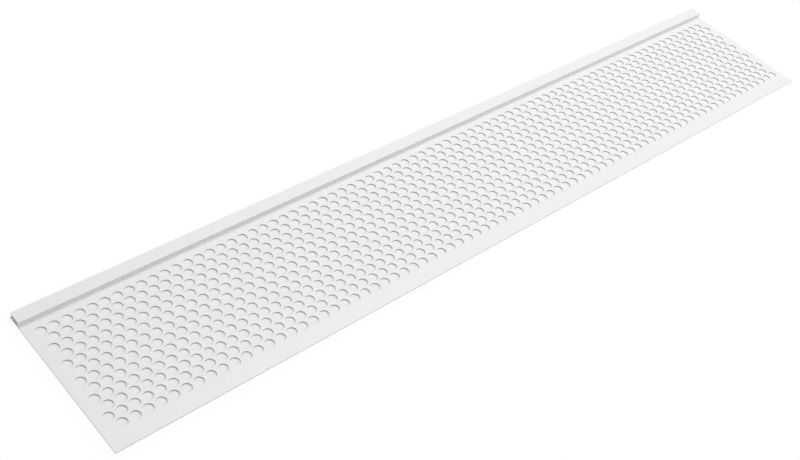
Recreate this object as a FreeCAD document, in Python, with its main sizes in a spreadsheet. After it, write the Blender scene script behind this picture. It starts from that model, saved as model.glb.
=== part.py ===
"""Gutter guard: one extruded vinyl sheet with staggered rows of punched drain holes and a clip lip on its back edge.

Frame: the sheet lies flat on the floor plane, +X runs along its length, +Y towards the clip lip, +Z up.
The origin is the middle of the sheet's underside, so the part is centred in X and in Y.
All sizes are in millimetres.
"""
import FreeCAD, Part
import math
import os
import Sketcher

NODE = "gutter_guard"

# Driving sizes: alias, value, meaning
SIZES = (
    ("sheet_length", 914.4, "length of the sheet along the gutter"),
    ("sheet_thickness", 1.2, "wall thickness of the whole profile"),
    ("hole_diameter", 9.2, "diameter of a drain hole"),
    ("hole_bridge", 2.42, "plastic left between neighbouring holes"),
    ("row_pairs", 6, "pairs of hole rows across the sheet, the second row of a pair staggered by half a pitch"),
    ("front_border", 16.0, "plain strip from the last row's rims to the free front edge"),
    ("back_border", 8.0, "plain strip from the first row's rims to the front face of the lip's web"),
    ("end_border", 7.5, "least plain strip from the outermost rims to each end of the sheet"),
    ("slot_gap", 4.5, "height of the slot that takes the gutter's own lip"),
    ("slot_depth", 10.5, "depth of the slot from the web to the snap bead"),
    ("bead_rise", 0.8, "straight height of the snap bead above the slot's floor, below its round top"),
    ("bend_radius", 0.3, "inside radius of the slot's two corners"),
    ("corner_radius", 0.5, "outside radius where the web turns into the top flange"),
    ("root_radius", 0.2, "fillet where the web stands on the sheet"),
)

# Sizes that follow from the driving ones, as expressions on the sheet
PITCH = "(sizes.hole_diameter + sizes.hole_bridge)"
ROW_STEP = f"({PITCH} * sqrt(3) / 2)"
FIELD_WIDTH = f"({ROW_STEP} * (2 * sizes.row_pairs - 1) + sizes.hole_diameter)"
LIP_WIDTH = "(sizes.slot_depth + 2 * sizes.sheet_thickness)"
SHEET_WIDTH = f"(sizes.front_border + {FIELD_WIDTH} + sizes.back_border + {LIP_WIDTH})"
WEB_FRONT = f"({SHEET_WIDTH} / 2 - {LIP_WIDTH})"
COLUMNS = f"floor((sizes.sheet_length - 2 * sizes.end_border - sizes.hole_diameter) / {PITCH} + 0.5)"
HALF_FIELD_LENGTH = f"(({COLUMNS} - 0.5) * {PITCH} / 2)"
FIRST_ROW_Y = f"({WEB_FRONT} - sizes.back_border - sizes.hole_diameter / 2)"

# Places on a sketch element, and the sketch's own origin
START = 1
END = 2
CENTRE = 3
ORIGIN = (-1, START)


def add_sizes(doc):
    """Write the driving sizes to the sheet that every feature reads."""
    sheet = doc.addObject("Spreadsheet::Sheet", "sizes")
    for row, (alias, value, meaning) in enumerate(SIZES, start=1):
        sheet.set(f"A{row}", alias)
        sheet.set(f"B{row}", str(value))
        sheet.set(f"C{row}", meaning)
        sheet.setAlias(f"B{row}", alias)
    doc.recompute()
    return sheet


def origin_feature(body, role):
    """Return the body's own origin plane or axis with the given role."""
    return next(item for item in body.Origin.OriginFeatures if item.Role == role)


def add_sketch(body, name, plane_role):
    """Attach an empty sketch to one of the body's origin planes."""
    sketch = body.newObject("Sketcher::SketchObject", name)
    sketch.AttachmentSupport = (origin_feature(body, plane_role), "")
    sketch.MapMode = "FlatFace"
    return sketch


def add_line(sketch, start, end):
    """Draw a line between two points of the sketch plane and return its index."""
    return sketch.addGeometry(Part.LineSegment(FreeCAD.Vector(*start), FreeCAD.Vector(*end)))


def add_arc(sketch, centre, radius, start_angle, end_angle):
    """Draw an arc between two angles in degrees, anticlockwise, and return its index."""
    circle = Part.Circle(FreeCAD.Vector(*centre), FreeCAD.Vector(0, 0, 1), radius)
    return sketch.addGeometry(Part.ArcOfCircle(circle, math.radians(start_angle), math.radians(end_angle)))


def drive(sketch, name, expression, kind, *places):
    """Add a named dimension at its present value and let the sheet drive it."""
    value = float(sketch.evalExpression(expression))
    index = sketch.addConstraint(Sketcher.Constraint(kind, *places, value))
    sketch.renameConstraint(index, name)
    sketch.setExpression(f"Constraints.{name}", expression)


def draw_section(sketch, sheet):
    """Draw the profile's cross-section: sheet, web, top flange and the snap bead at the slot's mouth.

    The sketch's first axis is the part's Y and its second axis the part's Z.
    """
    thick = sheet.sheet_thickness
    gap = sheet.slot_gap
    bead = thick + sheet.bead_rise
    bend = sheet.bend_radius
    outer = sheet.corner_radius
    root = sheet.root_radius
    back = float(sheet.evalExpression(SHEET_WIDTH)) / 2
    front = -back
    web_out = float(sheet.evalExpression(WEB_FRONT))
    web_in = web_out + thick
    roof = thick + gap
    top = roof + thick
    tip = back - thick / 2
    corner = web_in + bend
    shoulder = web_out + outer

    under_line = add_line(sketch, (front, 0), (back, 0))
    back_line = add_line(sketch, (back, 0), (back, bead))
    bead_arc = add_arc(sketch, (tip, bead), thick / 2, 0, 180)
    bead_line = add_line(sketch, (back - thick, bead), (back - thick, thick))
    floor_line = add_line(sketch, (back - thick, thick), (corner, thick))
    low_arc = add_arc(sketch, (corner, thick + bend), bend, 180, 270)
    web_in_line = add_line(sketch, (web_in, thick + bend), (web_in, roof - bend))
    high_arc = add_arc(sketch, (corner, roof - bend), bend, 90, 180)
    roof_line = add_line(sketch, (corner, roof), (tip, roof))
    tip_arc = add_arc(sketch, (tip, roof + thick / 2), thick / 2, -90, 90)
    top_line = add_line(sketch, (tip, top), (shoulder, top))
    outer_arc = add_arc(sketch, (shoulder, top - outer), outer, 90, 180)
    web_out_line = add_line(sketch, (web_out, top - outer), (web_out, thick + root))
    root_arc = add_arc(sketch, (web_out - root, thick + root), root, 270, 360)
    sheet_line = add_line(sketch, (web_out - root, thick), (front, thick))
    front_line = add_line(sketch, (front, thick), (front, 0))

    for line in (under_line, floor_line, roof_line, top_line, sheet_line):
        sketch.addConstraint(Sketcher.Constraint("Horizontal", line))
    for line in (back_line, bead_line, web_in_line, web_out_line, front_line):
        sketch.addConstraint(Sketcher.Constraint("Vertical", line))
    sharp_corners = (
        (under_line, END, back_line, START),
        (bead_line, END, floor_line, START),
        (sheet_line, END, front_line, START),
        (front_line, END, under_line, START),
    )
    for places in sharp_corners:
        sketch.addConstraint(Sketcher.Constraint("Coincident", *places))
    smooth_joins = (
        (back_line, END, bead_arc, START),
        (bead_arc, END, bead_line, START),
        (floor_line, END, low_arc, END),
        (low_arc, START, web_in_line, START),
        (web_in_line, END, high_arc, END),
        (high_arc, START, roof_line, START),
        (roof_line, END, tip_arc, START),
        (tip_arc, END, top_line, START),
        (top_line, END, outer_arc, START),
        (outer_arc, END, web_out_line, START),
        (web_out_line, END, root_arc, END),
        (root_arc, START, sheet_line, START),
    )
    for places in smooth_joins:
        sketch.addConstraint(Sketcher.Constraint("Tangent", *places))
    sketch.addConstraint(Sketcher.Constraint("Symmetric", under_line, START, under_line, END, *ORIGIN))
    sketch.addConstraint(Sketcher.Constraint("Vertical", bead_arc, CENTRE, tip_arc, CENTRE))

    half_thick = "sizes.sheet_thickness / 2"
    drive(sketch, "width", SHEET_WIDTH, "DistanceX", under_line, START, under_line, END)
    drive(sketch, "edge", "sizes.sheet_thickness", "DistanceY", front_line, END, front_line, START)
    drive(sketch, "slot_floor", "sizes.sheet_thickness", "DistanceY", under_line, END, floor_line, START)
    drive(sketch, "web", "sizes.sheet_thickness", "DistanceX", web_out_line, END, web_in_line, START)
    drive(sketch, "lip_width", LIP_WIDTH, "DistanceX", web_out_line, END, back_line, START)
    drive(sketch, "slot_gap", "sizes.slot_gap", "DistanceY", floor_line, START, roof_line, END)
    drive(sketch, "bead_rise", "sizes.bead_rise", "DistanceY", bead_line, END, bead_line, START)
    drive(sketch, "bead_round", half_thick, "Radius", bead_arc)
    drive(sketch, "tip_round", half_thick, "Radius", tip_arc)
    drive(sketch, "low_bend", "sizes.bend_radius", "Radius", low_arc)
    drive(sketch, "high_bend", "sizes.bend_radius", "Radius", high_arc)
    drive(sketch, "outer_corner", "sizes.corner_radius", "Radius", outer_arc)
    drive(sketch, "root", "sizes.root_radius", "Radius", root_arc)


def draw_first_holes(sketch, sheet):
    """Draw the first hole of the row beside the lip and its staggered neighbour in the next row."""
    radius = sheet.hole_diameter / 2
    first_x = -float(sheet.evalExpression(HALF_FIELD_LENGTH))
    first_y = float(sheet.evalExpression(FIRST_ROW_Y))
    stagger = float(sheet.evalExpression(PITCH)) / 2
    row_step = float(sheet.evalExpression(ROW_STEP))
    up = FreeCAD.Vector(0, 0, 1)
    first = sketch.addGeometry(Part.Circle(FreeCAD.Vector(first_x, first_y), up, radius))
    second = sketch.addGeometry(Part.Circle(FreeCAD.Vector(first_x + stagger, first_y - row_step), up, radius))
    drive(sketch, "first_diameter", "sizes.hole_diameter", "Diameter", first)
    drive(sketch, "second_diameter", "sizes.hole_diameter", "Diameter", second)
    drive(sketch, "first_x", HALF_FIELD_LENGTH, "DistanceX", first, CENTRE, *ORIGIN)
    drive(sketch, "first_y", FIRST_ROW_Y, "DistanceY", *ORIGIN, first, CENTRE)
    drive(sketch, "stagger", f"{PITCH} / 2", "DistanceX", first, CENTRE, second, CENTRE)
    drive(sketch, "row_step", ROW_STEP, "DistanceY", second, CENTRE, first, CENTRE)


def add_profile(body, sheet):
    """Extrude the cross-section along the whole length."""
    section = add_sketch(body, "section", "YZ_Plane")
    draw_section(section, sheet)
    profile = body.newObject("PartDesign::Pad", "profile")
    profile.Profile = section
    profile.SideType = "Symmetric"
    profile.setExpression("Length", "sizes.sheet_length")
    return profile


def add_drain_holes(body, sheet):
    """Punch the two first holes through the sheet and repeat them along and across it."""
    first_holes = add_sketch(body, "first_holes", "XY_Plane")
    draw_first_holes(first_holes, sheet)
    punch = body.newObject("PartDesign::Pocket", "punch")
    punch.Profile = first_holes
    punch.Type = "ThroughAll"
    punch.Reversed = True
    drain_holes = body.newObject("PartDesign::LinearPattern", "drain_holes")
    drain_holes.Originals = [punch]
    drain_holes.Refine = False
    drain_holes.Direction = (origin_feature(body, "X_Axis"), [""])
    drain_holes.Mode = "Spacing"
    drain_holes.setExpression("Offset", PITCH)
    drain_holes.setExpression("Occurrences", COLUMNS)
    drain_holes.Direction2 = (origin_feature(body, "Y_Axis"), [""])
    drain_holes.Reversed2 = True
    drain_holes.Mode2 = "Spacing"
    drain_holes.setExpression("Offset2", f"2 * {ROW_STEP}")
    drain_holes.setExpression("Occurrences2", "sizes.row_pairs")
    # A spacing of -1 stands for the common offset
    drain_holes.Spacings2 = [-1.0] * (int(sheet.row_pairs) - 1)
    body.Tip = drain_holes
    return drain_holes


def check(doc, body, profile, sheet):
    """Stop if a feature failed, the body isn't one sound solid, or a hole wasn't cut."""
    for item in doc.Objects:
        if "Invalid" in item.State or "Error" in item.State:
            raise RuntimeError(f"{item.Label} did not compute")
    shape = body.Shape
    if shape.isNull() or len(shape.Solids) != 1 or not shape.isValid():
        raise RuntimeError(f"{body.Label} is not one valid solid")
    holes = 2 * sheet.row_pairs * float(sheet.evalExpression(COLUMNS))
    one_hole = math.pi / 4 * sheet.hole_diameter ** 2 * sheet.sheet_thickness
    cut_away = profile.Shape.Volume - shape.Volume
    if abs(cut_away - holes * one_hole) > one_hole / 2:
        raise RuntimeError(f"{body.Label} has lost {cut_away / one_hole:.1f} holes' volume, not {holes}")


def main():
    """Build the guard and write its solid."""
    doc = FreeCAD.newDocument(NODE)
    sheet = add_sizes(doc)
    body = doc.addObject("PartDesign::Body", NODE)
    body.Label = NODE
    profile = add_profile(body, sheet)
    add_drain_holes(body, sheet)
    body.Placement = FreeCAD.Placement()
    doc.recompute()
    check(doc, body, profile, sheet)
    os.makedirs("parts", exist_ok=True)
    body.Shape.exportStep(f"parts/{NODE}.step")


main()
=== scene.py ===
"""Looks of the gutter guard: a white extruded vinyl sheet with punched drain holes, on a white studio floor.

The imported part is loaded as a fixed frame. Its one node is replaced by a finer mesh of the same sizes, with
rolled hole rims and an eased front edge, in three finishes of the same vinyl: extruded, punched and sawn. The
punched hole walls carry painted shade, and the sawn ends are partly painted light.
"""
import logging
import math
from dataclasses import dataclass, field
from enum import Enum
from typing import Any, Dict, Iterator, List, Optional, Sequence, Tuple, Union

import bpy
import numpy as np
from mathutils import Matrix, Vector
from mathutils.geometry import delaunay_2d_cdt


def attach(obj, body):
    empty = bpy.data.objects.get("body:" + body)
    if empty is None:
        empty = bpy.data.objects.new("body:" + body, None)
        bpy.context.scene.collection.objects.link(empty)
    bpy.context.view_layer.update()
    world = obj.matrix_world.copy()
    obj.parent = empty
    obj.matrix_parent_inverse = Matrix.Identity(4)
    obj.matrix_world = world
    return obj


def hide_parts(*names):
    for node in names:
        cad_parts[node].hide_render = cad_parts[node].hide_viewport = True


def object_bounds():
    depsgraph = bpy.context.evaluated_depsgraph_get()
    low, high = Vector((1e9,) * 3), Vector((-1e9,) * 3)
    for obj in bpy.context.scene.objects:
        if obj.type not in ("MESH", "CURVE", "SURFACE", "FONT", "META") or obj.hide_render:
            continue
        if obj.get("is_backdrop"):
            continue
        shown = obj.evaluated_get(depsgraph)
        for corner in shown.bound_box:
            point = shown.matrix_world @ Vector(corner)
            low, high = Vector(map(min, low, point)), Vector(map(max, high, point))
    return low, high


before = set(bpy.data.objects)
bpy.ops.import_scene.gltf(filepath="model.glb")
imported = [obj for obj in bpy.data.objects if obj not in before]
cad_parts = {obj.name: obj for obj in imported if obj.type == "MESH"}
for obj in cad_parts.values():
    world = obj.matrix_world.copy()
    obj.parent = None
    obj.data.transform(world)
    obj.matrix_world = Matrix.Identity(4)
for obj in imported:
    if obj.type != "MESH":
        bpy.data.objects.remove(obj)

LOG = logging.getLogger("gutter_guard")
MM = 0.001
WHITE = "#FFFFFF"
VINYL_IOR = 1.53

# Points of the mesh that are nearer than this are one, in millimetres and as a number of digits
WELD_MM = 1e-5
WELD_DIGITS = 5
# Shading normals that differ by more than this make an edge sharp
SHARP_NORMALS = 1e-4

# A colour Mix node has sockets of the same names for other kinds of value, so these go by number
MIX_FACTOR, MIX_A, MIX_B, MIX_RESULT = 0, 6, 7, 2
# Nearly all values of a noise pattern lie between these
NOISE_LOW, NOISE_HIGH = 0.3, 0.7
# How fine the noise patterns are within their own size: soft clouds, a die's lines and a cutting tool's lines
CLOUDS = {"Detail": 2.0, "Roughness": 0.5}
DIE_LINES = {"Scale": 1.0, "Detail": 3.0, "Roughness": 0.6}
TOOL_LINES = {"Scale": 1.0, "Detail": 3.0, "Roughness": 0.65}

Point = Tuple[float, float]
Vector3 = Tuple[float, float, float]
Rings = Tuple[List[int], List[int]]
Tree = bpy.types.NodeTree
Socket = bpy.types.NodeSocket


def linear(shade: str) -> Tuple[float, float, float, float]:
    """Turn an sRGB hex colour to linear light, by the curve of the sRGB standard.

    Args:
        shade: Colour as "#RRGGBB".

    Returns:
        Red, green, blue and an alpha of 1.
    """
    parts = [int(shade[i:i + 2], 16) / 255 for i in (1, 3, 5)]
    red, green, blue = (p / 12.92 if p <= 0.04045 else ((p + 0.055) / 1.055) ** 2.4 for p in parts)
    return red, green, blue, 1.0


def add_node(
    tree: Tree, kind: str, inputs: Optional[Dict[Any, Any]] = None, **settings: Any,
) -> bpy.types.Node:
    """Add a node with its settings, and set or link its inputs.

    Args:
        tree: Node tree that takes the node.
        kind: Blender's name for the node type.
        inputs: Input name or number to a value, or to the output socket that feeds it.
        settings: Attributes of the node itself.

    Returns:
        The new node.
    """
    node = tree.nodes.new(kind)
    for name, value in settings.items():
        setattr(node, name, value)
    for name, value in (inputs or {}).items():
        if isinstance(value, Socket):
            tree.links.new(value, node.inputs[name])
        else:
            node.inputs[name].default_value = value
    return node


def seen_ray(tree: Tree) -> Socket:
    """Tell the rays that show the background to the eye, straight, mirrored or through glass.

    Args:
        tree: Node tree that asks.

    Returns:
        A socket that is 1 for such a ray and 0 for one that only carries light.
    """
    ray = add_node(tree, "ShaderNodeLightPath").outputs
    bent = add_node(tree, "ShaderNodeMath", {
        0: ray["Is Glossy Ray"], 1: ray["Is Transmission Ray"],
    }, operation="MAXIMUM").outputs[0]
    return add_node(tree, "ShaderNodeMath", {
        0: ray["Is Camera Ray"], 1: bent,
    }, operation="MAXIMUM").outputs[0]


def new_material(name: str) -> Tuple[bpy.types.Material, Tree]:
    """Make a material with an empty node tree.

    Args:
        name: The material's name.

    Returns:
        The material and its tree.
    """
    made = bpy.data.materials.new(name)
    made.use_nodes = True
    made.node_tree.nodes.clear()
    return made, made.node_tree


def add_object(name: str, data: bpy.types.ID) -> bpy.types.Object:
    """Make an object and link it to the scene.

    Args:
        name: The object's name.
        data: Its mesh, lamp or camera.

    Returns:
        The object.
    """
    made = bpy.data.objects.new(name, data)
    bpy.context.scene.collection.objects.link(made)
    return made


class Cut(Enum):
    """How a face of the vinyl came about, which is also the number of its material slot."""

    EXTRUDED = 0
    PUNCHED = 1
    SAWN = 2


@dataclass(frozen=True)
class ExtrudedVinyl:
    """Rigid white PVC as it leaves a polished extrusion die and a cooling sizer.

    It gives the eye a clean, faintly cool white with a soft satin gloss. The die leaves very fine lines along
    the length, and the cooling skin is a little uneven, so reflections are broad and slightly streaked.
    """

    name: str = "extruded_white_vinyl"
    shade: str = "#EAEBEB"
    pale: str = "#EDEEEE"
    least_pale: float = 0.25  # share of the pale shade where the patterns add none
    roughness: float = 0.42
    roughness_swing: float = 0.06
    die_line_mm: float = 2.4  # real lines are a few tenths apart: drawn coarser so that they show
    die_line_run_mm: float = 900.0
    die_line_height_mm: float = 0.006
    mottle_mm: float = 38.0
    skin_grain_mm: float = 1.6
    skin_grain_height_mm: float = 0.004

    def material(self) -> bpy.types.Material:
        """Make the node material.

        Returns:
            The material, with colour, roughness and bump from procedural patterns in object space.
        """
        made, tree = new_material(self.name)
        place = add_node(tree, "ShaderNodeTexCoord").outputs["Object"]
        line_sizes = (self.die_line_run_mm, self.die_line_mm, self.die_line_mm)
        along = add_node(tree, "ShaderNodeMapping", {
            "Vector": place, "Scale": tuple(1 / (size * MM) for size in line_sizes),
        }).outputs["Vector"]
        lines = add_node(tree, "ShaderNodeTexNoise", {"Vector": along, **DIE_LINES}).outputs["Fac"]
        mottle, grain = (
            add_node(tree, "ShaderNodeTexNoise", {
                "Vector": place, "Scale": 1 / (size * MM), **CLOUDS,
            }).outputs["Fac"]
            for size in (self.mottle_mm, self.skin_grain_mm)
        )
        paleness = add_node(tree, "ShaderNodeMath", {
            0: lines, 1: mottle, 2: self.least_pale,
        }, operation="MULTIPLY_ADD").outputs[0]
        colour = add_node(tree, "ShaderNodeMix", {
            MIX_FACTOR: paleness, MIX_A: linear(self.shade), MIX_B: linear(self.pale),
        }, data_type="RGBA").outputs[MIX_RESULT]
        rough = add_node(tree, "ShaderNodeMapRange", {
            "Value": mottle, "From Min": NOISE_LOW, "From Max": NOISE_HIGH,
            "To Min": self.roughness - self.roughness_swing, "To Max": self.roughness + self.roughness_swing,
        }).outputs["Result"]
        skin = add_node(tree, "ShaderNodeBump", {
            "Height": grain, "Distance": self.skin_grain_height_mm * MM, "Strength": 1.0,
        }).outputs["Normal"]
        streaked = add_node(tree, "ShaderNodeBump", {
            "Height": lines, "Distance": self.die_line_height_mm * MM, "Strength": 1.0, "Normal": skin,
        }).outputs["Normal"]
        shader = add_node(tree, "ShaderNodeBsdfPrincipled", {
            "Base Color": colour, "Roughness": rough, "IOR": VINYL_IOR, "Normal": streaked,
        }).outputs["BSDF"]
        add_node(tree, "ShaderNodeOutputMaterial", {"Surface": shader})
        return made


@dataclass(frozen=True)
class CutVinyl:
    """The same rigid white PVC where a tool has parted it, by a punch or by a saw.

    The skin's gloss is gone: the face is matt and lined the way the tool went. A saw's fine dust and
    scratches leave it whiter than the skin, and the sawn shades are set whiter still as painted light, to
    brighten the ends, which face away from the lamps.
    """

    name: str
    shade: str
    pale: str
    roughness: float
    line_mm: Vector3
    line_height_mm: float
    roughness_swing: float = 0.08

    def colour(self, tree: Tree, place: Socket, lines: Socket) -> Socket:
        """Colour the face by its tool lines.

        Args:
            tree: The material's node tree.
            place: Where on the object a point is; not used here.
            lines: Strength of the tool lines there.

        Returns:
            The colour's socket.
        """
        return add_node(tree, "ShaderNodeMix", {
            MIX_FACTOR: lines, MIX_A: linear(self.shade), MIX_B: linear(self.pale),
        }, data_type="RGBA").outputs[MIX_RESULT]

    def material(self) -> bpy.types.Material:
        """Make the node material.

        Returns:
            The material, with tool lines in colour, roughness and bump.
        """
        made, tree = new_material(self.name)
        place = add_node(tree, "ShaderNodeTexCoord").outputs["Object"]
        spaced = add_node(tree, "ShaderNodeMapping", {
            "Vector": place, "Scale": tuple(1 / (size * MM) for size in self.line_mm),
        }).outputs["Vector"]
        lines = add_node(tree, "ShaderNodeTexNoise", {"Vector": spaced, **TOOL_LINES}).outputs["Fac"]
        rough = add_node(tree, "ShaderNodeMapRange", {
            "Value": lines, "From Min": NOISE_LOW, "From Max": NOISE_HIGH,
            "To Min": self.roughness - self.roughness_swing, "To Max": self.roughness + self.roughness_swing,
        }).outputs["Result"]
        lined = add_node(tree, "ShaderNodeBump", {
            "Height": lines, "Distance": self.line_height_mm * MM, "Strength": 1.0,
        }).outputs["Normal"]
        shader = add_node(tree, "ShaderNodeBsdfPrincipled", {
            "Base Color": self.colour(tree, place, lines), "Roughness": rough,
            "IOR": VINYL_IOR, "Normal": lined,
        }).outputs["BSDF"]
        add_node(tree, "ShaderNodeOutputMaterial", {"Surface": shader})
        return made


@dataclass(frozen=True)
class PunchedVinylWithPaintedShade(CutVinyl):
    """The cut of a punch: a smooth sheared band under the rim, and below it a torn, stress-whitened band.

    The eye sees a thin dark line under each hole's far rim, and a pale foot where the wall meets the floor.
    The sheared band is drawn darker than white vinyl is: painted shade for the shade on each hole's far wall,
    to come near the dark lines in the photograph.
    """

    torn: str = "#F0F1F1"
    torn_to_mm: float = 0.35
    painted_shade_from_mm: float = 0.6

    def colour(self, tree: Tree, place: Socket, lines: Socket) -> Socket:
        """Colour the wall by its tool lines, with painted shade in the sheared band and whitened in the torn
        band.

        Args:
            tree: The material's node tree.
            place: Where on the object a point is.
            lines: Strength of the tool lines there.

        Returns:
            The colour's socket.
        """
        height = add_node(tree, "ShaderNodeSeparateXYZ", {"Vector": place}).outputs["Z"]
        # Above the torn band the wall takes the dark grey shades: painted shade on the hole walls
        sheared = add_node(tree, "ShaderNodeMapRange", {
            "Value": height, "From Min": self.torn_to_mm * MM, "From Max": self.painted_shade_from_mm * MM,
        }, interpolation_type="SMOOTHSTEP").outputs["Result"]
        return add_node(tree, "ShaderNodeMix", {
            MIX_FACTOR: sheared, MIX_A: linear(self.torn), MIX_B: super().colour(tree, place, lines),
        }, data_type="RGBA").outputs[MIX_RESULT]


FINISHES: Dict[Cut, Union[ExtrudedVinyl, CutVinyl]] = {
    Cut.EXTRUDED: ExtrudedVinyl(),
    # A punch drags the vinyl downwards: fine upright lines. The dark grey shades are painted shade on the
    # hole walls, not the vinyl's own colour
    Cut.PUNCHED: PunchedVinylWithPaintedShade(
        "punched_vinyl_painted_shade", shade="#7C7E7E", pale="#888A8A", roughness=0.55,
        line_mm=(0.5, 0.5, 6.0), line_height_mm=0.01,
    ),
    # A saw crosses the profile: fine lines across the section. Its shades are whiter than the skin, partly
    # from saw dust and partly as painted light on the ends
    Cut.SAWN: CutVinyl(
        "sawn_white_vinyl", shade="#F0F1F1", pale="#F4F5F5", roughness=0.62,
        line_mm=(2.0, 6.0, 0.4), line_height_mm=0.012,
    ),
}


@dataclass
class MeshStock:
    """Vertices and faces of one mesh while it is put together, in millimetres."""

    points: List[Vector3] = field(default_factory=list)
    faces: List[Tuple[int, ...]] = field(default_factory=list)
    normals: List[Vector3] = field(default_factory=list)
    cuts: List[Cut] = field(default_factory=list)
    shared: Dict[Vector3, int] = field(default_factory=dict)

    def add_point(self, place: Vector3) -> int:
        """Add a vertex and return its number."""
        self.points.append(place)
        return len(self.points) - 1

    def shared_point(self, along: float, point: Point) -> int:
        """Find the vertex of a corner that several faces share, or add it.

        Args:
            along: Where along the sheet the corner is.
            point: The corner in the section.

        Returns:
            The vertex number.
        """
        key = (along, round(point[0], WELD_DIGITS), round(point[1], WELD_DIGITS))
        if key not in self.shared:
            self.shared[key] = self.add_point((along, *point))
        return self.shared[key]

    def add_face(self, corners: Sequence[int], normals: Sequence[Vector3], cut: Cut) -> None:
        """Add a face.

        Args:
            corners: Vertex numbers, anticlockwise seen from outside.
            normals: Shading normal at each corner.
            cut: How the face came about.
        """
        self.faces.append(tuple(corners))
        self.normals.extend(normals)
        self.cuts.append(cut)

    def make(self, name: str) -> bpy.types.Object:
        """Turn the stock into a Blender object, in metres.

        Args:
            name: Name of the object and its mesh.

        Returns:
            The object, linked to the scene.
        """
        mesh = bpy.data.meshes.new(name)
        mesh.from_pydata([tuple(v * MM for v in place) for place in self.points], [], self.faces)
        mesh.polygons.foreach_set("material_index", [cut.value for cut in self.cuts])
        mesh.polygons.foreach_set("use_smooth", [True] * len(self.faces))
        self.part_normals(mesh)
        mesh.normals_split_custom_set(self.normals)
        return add_object(name, mesh)

    def part_normals(self, mesh: bpy.types.Mesh) -> None:
        """Mark as sharp each edge whose two faces have different shading normals there.

        Args:
            mesh: The mesh, closed, so that each edge has two faces.
        """
        corners = np.array([vertex for face in self.faces for vertex in face])
        after = np.array([vertex for face in self.faces for vertex in face[1:] + face[:1]])
        sides = np.array([len(face) for face in self.faces])
        following = np.arange(1, len(corners) + 1)
        last = np.cumsum(sides) - 1
        following[last] = last - sides + 1
        here = np.array(self.normals)
        there = here[following]
        turned = (corners > after)[:, None]
        # Both end normals of an edge side by side, so that its two faces give them in the same order
        along = np.hstack([np.where(turned, there, here), np.where(turned, here, there)])
        edges = np.empty(len(corners), int)
        mesh.loops.foreach_get("edge_index", edges)
        pairs = along[np.argsort(edges, kind="stable")].reshape(-1, 2, along.shape[1])
        sharp = np.abs(pairs[:, 0] - pairs[:, 1]).max(axis=1) > SHARP_NORMALS
        mesh.attributes.new("sharp_edge", "BOOLEAN", "EDGE").data.foreach_set("value", sharp)


@dataclass
class Run:
    """One stretch of the section's outline, walked anticlockwise: its points and their normals."""

    points: List[Point]
    normals: List[Point]
    perforated: bool = False


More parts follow.
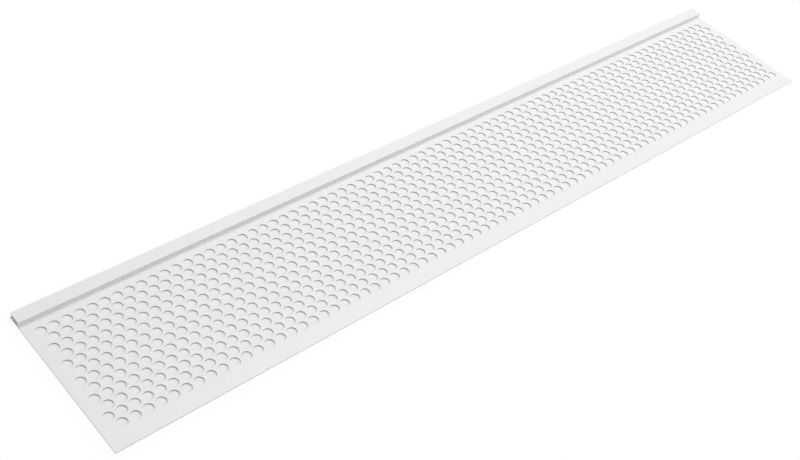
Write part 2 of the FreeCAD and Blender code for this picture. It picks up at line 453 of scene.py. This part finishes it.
@dataclass
class GutterGuard:
    """The guard's one piece: flat perforated sheet, web, top flange and snap bead, in millimetres."""

    length: float = 914.4
    thickness: float = 1.2
    hole_diameter: float = 9.2
    pitch: float = 11.62
    rows: int = 12
    columns: int = 77
    front_border: float = 16.0
    back_border: float = 8.0
    slot_gap: float = 4.5
    slot_depth: float = 10.5
    bead_rise: float = 0.8
    bend_radius: float = 0.3
    corner_radius: float = 0.5
    root_radius: float = 0.2
    rim_roll: float = 0.1
    eased_edge: float = 0.2
    hole_sides: int = 32
    quarter_steps: int = 6

    @property
    def row_step(self) -> float:
        """Distance between rows of the 60 degree stagger."""
        return self.pitch * math.sqrt(3) / 2

    @property
    def lip_width(self) -> float:
        """Depth of the lip from the front face of its web to the back edge."""
        return self.slot_depth + 2 * self.thickness

    @property
    def width(self) -> float:
        """Overall width from the free front edge to the back edge."""
        field_width = (self.rows - 1) * self.row_step + self.hole_diameter
        return self.front_border + field_width + self.back_border + self.lip_width

    @property
    def half_sides(self) -> Point:
        """Half the length and half the width, in metres."""
        return self.length / 2 * MM, self.width / 2 * MM

    @property
    def ends(self) -> Point:
        """Where the two ends of the sheet are along its length."""
        return -self.length / 2, self.length / 2

    @property
    def side_directions(self) -> List[Point]:
        """Directions from a hole's centre to its corners, anticlockwise seen from above."""
        angles = [2 * math.pi * (side + 0.5) / self.hole_sides for side in range(self.hole_sides)]
        return [(math.cos(angle), math.sin(angle)) for angle in angles]

    def hole_centres(self) -> Iterator[Point]:
        """Give the holes' centres, row by row from the lip, each second row shifted by half a pitch.

        Returns:
            The centres, with the field of holes in the middle of the length.
        """
        stagger = self.pitch / 2
        first_x = -((self.columns - 1) * self.pitch + stagger) / 2
        first_y = self.width / 2 - self.lip_width - self.back_border - self.hole_diameter / 2
        for row in range(self.rows):
            shift = stagger if row % 2 else 0.0
            for column in range(self.columns):
                yield first_x + shift + column * self.pitch, first_y - row * self.row_step

    def straight(self, start: Point, end: Point, perforated: bool = False) -> Run:
        """Walk a straight stretch of the outline.

        Args:
            start: Where the walk starts.
            end: Where it ends.
            perforated: Whether the holes go through the face.

        Returns:
            The stretch of outline.
        """
        across, up = end[0] - start[0], end[1] - start[1]
        size = math.hypot(across, up)
        facing = (up / size, -across / size)
        return Run([start, end], [facing, facing], perforated)

    def bend(self, centre: Point, radius: float, start: float, end: float) -> Run:
        """Walk a round corner of the outline.

        Args:
            centre: Centre of the arc.
            radius: Its radius.
            start: Angle where the walk starts, in degrees.
            end: Angle where it ends. Below the start, the walk is clockwise and the corner hollow.

        Returns:
            The stretch of outline.
        """
        facing = 1 if end > start else -1
        steps = self.quarter_steps * round(abs(end - start) / 90)
        run = Run([], [])
        for step in range(steps + 1):
            angle = math.radians(start + (end - start) * step / steps)
            across, up = math.cos(angle), math.sin(angle)
            run.points.append((centre[0] + radius * across, centre[1] + radius * up))
            run.normals.append((facing * across, facing * up))
        return run

    def outline(self) -> List[Run]:
        """Walk round the section, with Y across and Z up, anticlockwise from the underside's front edge.

        Returns:
            The stretches of the outline, the underside and the sheet's top face marked as perforated.
        """
        thick, ease, inner = self.thickness, self.eased_edge, self.bend_radius
        back = self.width / 2
        front = -back
        web_out = back - self.lip_width
        web_in = web_out + thick
        roof = thick + self.slot_gap
        top = roof + thick
        bead = thick + self.bead_rise
        bead_in = back - thick
        tip = back - thick / 2
        corner = web_in + inner
        shoulder = web_out + self.corner_radius
        root = web_out - self.root_radius
        return [
            self.straight((front + ease, 0), (back, 0), perforated=True),
            self.straight((back, 0), (back, bead)),
            self.bend((tip, bead), thick / 2, 0, 180),
            self.straight((bead_in, bead), (bead_in, thick)),
            self.straight((bead_in, thick), (corner, thick)),
            self.bend((corner, thick + inner), inner, 270, 180),
            self.straight((web_in, thick + inner), (web_in, roof - inner)),
            self.bend((corner, roof - inner), inner, 180, 90),
            self.straight((corner, roof), (tip, roof)),
            self.bend((tip, roof + thick / 2), thick / 2, -90, 90),
            self.straight((tip, top), (shoulder, top)),
            self.bend((shoulder, top - self.corner_radius), self.corner_radius, 90, 180),
            self.straight((web_out, top - self.corner_radius), (web_out, thick + self.root_radius)),
            self.bend((root, thick + self.root_radius), self.root_radius, 360, 270),
            self.straight((root, thick), (front + ease, thick), perforated=True),
            self.bend((front + ease, thick - ease), ease, 90, 180),
            self.straight((front, thick - ease), (front, ease)),
            self.bend((front + ease, ease), ease, 180, 270),
        ]

    def add_ring(self, stock: MeshStock, centre: Point, radius: float, height: float) -> List[int]:
        """Add the vertices of one level of a hole.

        Args:
            stock: Mesh that takes them.
            centre: The hole's centre.
            radius: Radius at this level.
            height: Height of this level.

        Returns:
            The vertex numbers, anticlockwise seen from above.
        """
        return [
            stock.add_point((centre[0] + radius * along, centre[1] + radius * across, height))
            for along, across in self.side_directions
        ]

    def add_hole(self, stock: MeshStock, centre: Point) -> Rings:
        """Add one punched hole: the rim that the punch rolled over, and the wall below it.

        Args:
            stock: Mesh that takes it.
            centre: The hole's centre.

        Returns:
            The rings where the hole meets the sheet's top face and its underside.
        """
        radius = self.hole_diameter / 2
        upper = self.add_ring(stock, centre, radius + self.rim_roll, self.thickness)
        rim = self.add_ring(stock, centre, radius, self.thickness - self.rim_roll)
        lower = self.add_ring(stock, centre, radius, 0.0)
        up = (0.0, 0.0, 1.0)
        inwards = [(-along, -across, 0.0) for along, across in self.side_directions]
        for side in range(self.hole_sides):
            after = (side + 1) % self.hole_sides
            stock.add_face(
                (upper[side], upper[after], rim[after], rim[side]),
                (up, up, inwards[after], inwards[side]), Cut.EXTRUDED,
            )
            stock.add_face(
                (rim[side], rim[after], lower[after], lower[side]),
                (inwards[side], inwards[after], inwards[after], inwards[side]), Cut.PUNCHED,
            )
        return upper, lower

    def add_perforated_face(self, stock: MeshStock, run: Run, rings: List[Rings]) -> None:
        """Close a flat face of the sheet between its border and the holes.

        Args:
            stock: Mesh that takes the triangles.
            run: The face's stretch of the outline.
            rings: The holes' vertices at the top face and at the underside.
        """
        facing_up = run.normals[0][1] > 0
        front, back = sorted((run.points[0], run.points[-1]))
        left, right = self.ends
        border = [
            stock.shared_point(left, front), stock.shared_point(right, front),
            stock.shared_point(right, back), stock.shared_point(left, back),
        ]
        loops = [border] + [upper if facing_up else lower for upper, lower in rings]
        numbers = [number for loop in loops for number in loop]
        owner = [index for index, loop in enumerate(loops) for _ in loop]
        edges = []
        start = 0
        for loop in loops:
            edges += [(start + i, start + (i + 1) % len(loop)) for i in range(len(loop))]
            start += len(loop)
        flat = [Vector(stock.points[number][:2]) for number in numbers]
        _, _, triangles, sources, _, _ = delaunay_2d_cdt(flat, edges, [], 0, WELD_MM, True)
        normal = (0.0, 0.0, 1.0 if facing_up else -1.0)
        for triangle in triangles:
            corners = [sources[corner][0] for corner in triangle]
            owners = {owner[corner] for corner in corners}
            # A triangle between corners of one ring lies in the open hole
            if len(owners) == 1 and owners != {0}:
                continue
            corners = [numbers[corner] for corner in corners]
            stock.add_face(corners if facing_up else corners[::-1], [normal] * 3, Cut.EXTRUDED)

    def add_plain_faces(self, stock: MeshStock, run: Run) -> None:
        """Add the faces of a stretch of the outline from end to end of the sheet.

        Args:
            stock: Mesh that takes the faces.
            run: The stretch of the outline.
        """
        left, right = self.ends
        for step in range(len(run.points) - 1):
            here, there = run.points[step], run.points[step + 1]
            corners = [
                stock.shared_point(left, here), stock.shared_point(left, there),
                stock.shared_point(right, there), stock.shared_point(right, here),
            ]
            normals = [(0.0, *run.normals[i]) for i in (step, step + 1, step + 1, step)]
            stock.add_face(corners, normals, Cut.EXTRUDED)

    def add_end_faces(self, stock: MeshStock, runs: List[Run]) -> None:
        """Close both sawn ends of the sheet.

        Args:
            stock: Mesh that takes the triangles.
            runs: The whole outline.
        """
        section = [point for run in runs for point in run.points[:-1]]
        flat = [Vector(point) for point in section]
        whole = [list(range(len(flat)))]
        _, _, triangles, sources, _, inside = delaunay_2d_cdt(flat, [], whole, 0, WELD_MM, True)
        for triangle, within in zip(triangles, inside):
            if not within:
                continue
            places = [section[sources[i][0]] for i in triangle]
            for along, side in zip(self.ends, (-1.0, 1.0)):
                corners = [stock.shared_point(along, place) for place in places]
                stock.add_face(corners if side > 0 else corners[::-1], [(side, 0.0, 0.0)] * 3, Cut.SAWN)

    def build(self) -> bpy.types.Object:
        """Build the guard's mesh.

        Returns:
            The object, with no material yet.
        """
        stock = MeshStock()
        runs = self.outline()
        rings = [self.add_hole(stock, centre) for centre in self.hole_centres()]
        for run in runs:
            if run.perforated:
                self.add_perforated_face(stock, run, rings)
            else:
                self.add_plain_faces(stock, run)
        self.add_end_faces(stock, runs)
        return stock.make("gutter_guard_vinyl")

    def dress(self, made: bpy.types.Object) -> None:
        """Give the mesh its three finishes, in the order of Cut."""
        for cut in Cut:
            made.data.materials.append(FINISHES[cut].material())

    def place(self) -> bpy.types.Object:
        """Build and dress the guard and let it stand for the part's node.

        Returns:
            The finished piece.
        """
        made = self.build()
        self.dress(made)
        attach(made, "root")
        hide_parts("gutter_guard")
        return made


@dataclass(frozen=True)
class StudioFloor:
    """White painted studio floor, matt, that shows white to the eye and keeps the guard's shadow, in metres.

    Under the guard, where its holes show the floor, it is lit as any matt floor is, with a little white added
    for the eye. Beside the guard it is mostly plain white, with a faint shadow that fades with distance.
    """

    guard_half_sides: Point
    shade: str = "#EEEEEE"
    half_size: float = 8.0
    white: float = 1.0
    added_white: float = 0.055
    white_at_edge: float = 0.9
    edge_slack: float = 0.0001
    shadow_reach: float = 0.015

    def material(self) -> bpy.types.Material:
        """Make the floor's material.

        Returns:
            Matt white, with plain white for what the camera and mirrors see.
        """
        made, tree = new_material("matt_white_floor_paint")
        place = add_node(tree, "ShaderNodeTexCoord").outputs["Object"]
        sides = add_node(tree, "ShaderNodeVectorMath", {0: place}, operation="ABSOLUTE").outputs["Vector"]
        past = add_node(tree, "ShaderNodeVectorMath", {
            0: sides, 1: (*self.guard_half_sides, 0.0),
        }, operation="SUBTRACT").outputs["Vector"]
        beside = add_node(tree, "ShaderNodeVectorMath", {0: past}, operation="MAXIMUM").outputs["Vector"]
        reach = add_node(tree, "ShaderNodeVectorMath", {0: beside}, operation="LENGTH").outputs["Value"]
        outside = add_node(tree, "ShaderNodeMath", {
            0: reach, 1: self.edge_slack,
        }, operation="GREATER_THAN").outputs[0]
        spread = add_node(tree, "ShaderNodeMapRange", {
            "Value": reach, "From Min": 0.0, "From Max": self.shadow_reach,
            "To Min": self.white_at_edge, "To Max": 1.0,
        }, interpolation_type="SMOOTHSTEP").outputs["Result"]
        fade = add_node(tree, "ShaderNodeMath", {0: spread, 1: outside}, operation="MULTIPLY").outputs[0]
        paint = add_node(tree, "ShaderNodeBsdfDiffuse", {"Color": linear(self.shade)}).outputs["BSDF"]
        little, white = (
            add_node(tree, "ShaderNodeEmission", {
                "Color": linear(WHITE), "Strength": strength,
            }).outputs["Emission"]
            for strength in (self.added_white, self.white)
        )
        below = add_node(tree, "ShaderNodeAddShader", {0: paint, 1: little}).outputs["Shader"]
        to_eye = add_node(tree, "ShaderNodeMixShader", {0: fade, 1: below, 2: white}).outputs["Shader"]
        surface = add_node(tree, "ShaderNodeMixShader", {
            0: seen_ray(tree), 1: paint, 2: to_eye,
        }).outputs["Shader"]
        add_node(tree, "ShaderNodeOutputMaterial", {"Surface": surface})
        return made

    def place(self) -> bpy.types.Object:
        """Lay the floor under the guard.

        Returns:
            The floor, marked as stage.
        """
        mesh = bpy.data.meshes.new("studio_floor")
        half = self.half_size
        corners = [(-half, -half, 0), (half, -half, 0), (half, half, 0), (-half, half, 0)]
        mesh.from_pydata(corners, [], [(0, 1, 2, 3)])
        mesh.materials.append(self.material())
        made = add_object("studio_floor", mesh)
        made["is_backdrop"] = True
        return made


@dataclass(frozen=True)
class SoftLamp:
    """One large soft lamp of the studio, in metres."""

    name: str
    place: Vector3
    size: Tuple[float, float]
    watts: float
    aim: Vector3 = (0.0, 0.0, 0.0)

    def hang(self) -> bpy.types.Object:
        """Hang the lamp and turn it to its aim.

        Returns:
            The lamp.
        """
        data = bpy.data.lights.new(self.name, "AREA")
        data.shape = "RECTANGLE"
        data.size, data.size_y = self.size
        data.energy = self.watts
        made = add_object(self.name, data)
        made.location = self.place
        made.rotation_euler = (Vector(self.aim) - Vector(self.place)).to_track_quat("-Z", "Y").to_euler()
        return made


@dataclass(frozen=True)
class PhotoView:
    """The photograph's camera: where it stands and what it looks at, in metres, its roll and its lens."""

    place: Vector3 = (-0.71872, -0.50334, 0.747)
    aim: Vector3 = (-0.11559, -0.01517, 0.0)
    roll_deg: float = 13.7438
    lens_mm: float = 51.904
    sensor_mm: float = 36.0
    sees_to: float = 100.0

    def set_up(self) -> bpy.types.Object:
        """Set the camera up and make it the scene's own.

        Returns:
            The camera.
        """
        data = bpy.data.cameras.new("photo_view")
        data.sensor_fit = "HORIZONTAL"
        data.sensor_width = self.sensor_mm
        data.lens = self.lens_mm
        data.clip_end = self.sees_to
        made = add_object("photo_view", data)
        forward = (Vector(self.aim) - Vector(self.place)).normalized()
        level = forward.cross(Vector((0, 0, 1))).normalized()
        above = level.cross(forward)
        roll = math.radians(self.roll_deg)
        right = level * math.cos(roll) + above * math.sin(roll)
        up = right.cross(forward)
        turn = Matrix((right, up, -forward)).transposed().to_4x4()
        made.matrix_world = Matrix.Translation(Vector(self.place)) @ turn
        bpy.context.scene.camera = made
        return made


@dataclass
class Studio:
    """Plain soft studio: floor, lamps, even surrounding light and the camera."""

    floor: StudioFloor
    view: PhotoView = PhotoView()
    surround: float = 0.4
    lamps: Tuple[SoftLamp, ...] = (
        SoftLamp("top_softbox", place=(0.45, 0.15, 1.8), size=(1.6, 1.6), watts=23.3),
        SoftLamp("right_softbox", place=(1.2, -1.3, 1.1), size=(1.2, 1.2), watts=5.2),
    )

    def surround_light(self) -> None:
        """Set the even light that comes from all round, which the eye sees as plain white."""
        world = bpy.data.worlds.new("studio_surround")
        bpy.context.scene.world = world
        world.use_nodes = True
        tree = world.node_tree
        tree.nodes.clear()
        even, white = (
            add_node(tree, "ShaderNodeBackground", {
                "Color": linear(WHITE), "Strength": strength,
            }).outputs["Background"]
            for strength in (self.surround, self.floor.white)
        )
        mixed = add_node(tree, "ShaderNodeMixShader", {
            0: seen_ray(tree), 1: even, 2: white,
        }).outputs["Shader"]
        add_node(tree, "ShaderNodeOutputWorld", {"Surface": mixed})

    def set_up(self) -> None:
        """Set up the whole studio."""
        bpy.context.scene.view_settings.view_transform = "Standard"
        self.floor.place()
        LOG.info("studio floor laid")
        for lamp in self.lamps:
            LOG.info("%s hung", lamp.hang().name)
        self.surround_light()
        LOG.info("camera %s set up", self.view.set_up().name)


def corners() -> List[List[float]]:
    """Give the shown object's lowest and highest corner as plain lists, in metres."""
    return [list(corner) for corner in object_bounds()]


def main() -> None:
    """Build the guard and its studio."""
    logging.basicConfig(level=logging.INFO, format="%(name)s: %(message)s")
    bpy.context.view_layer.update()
    guard = GutterGuard()
    piece = guard.place()
    LOG.info("%s built: %d faces", piece.name, len(piece.data.polygons))
    Studio(StudioFloor(guard.half_sides)).set_up()


if __name__ == "__main__":
    main()
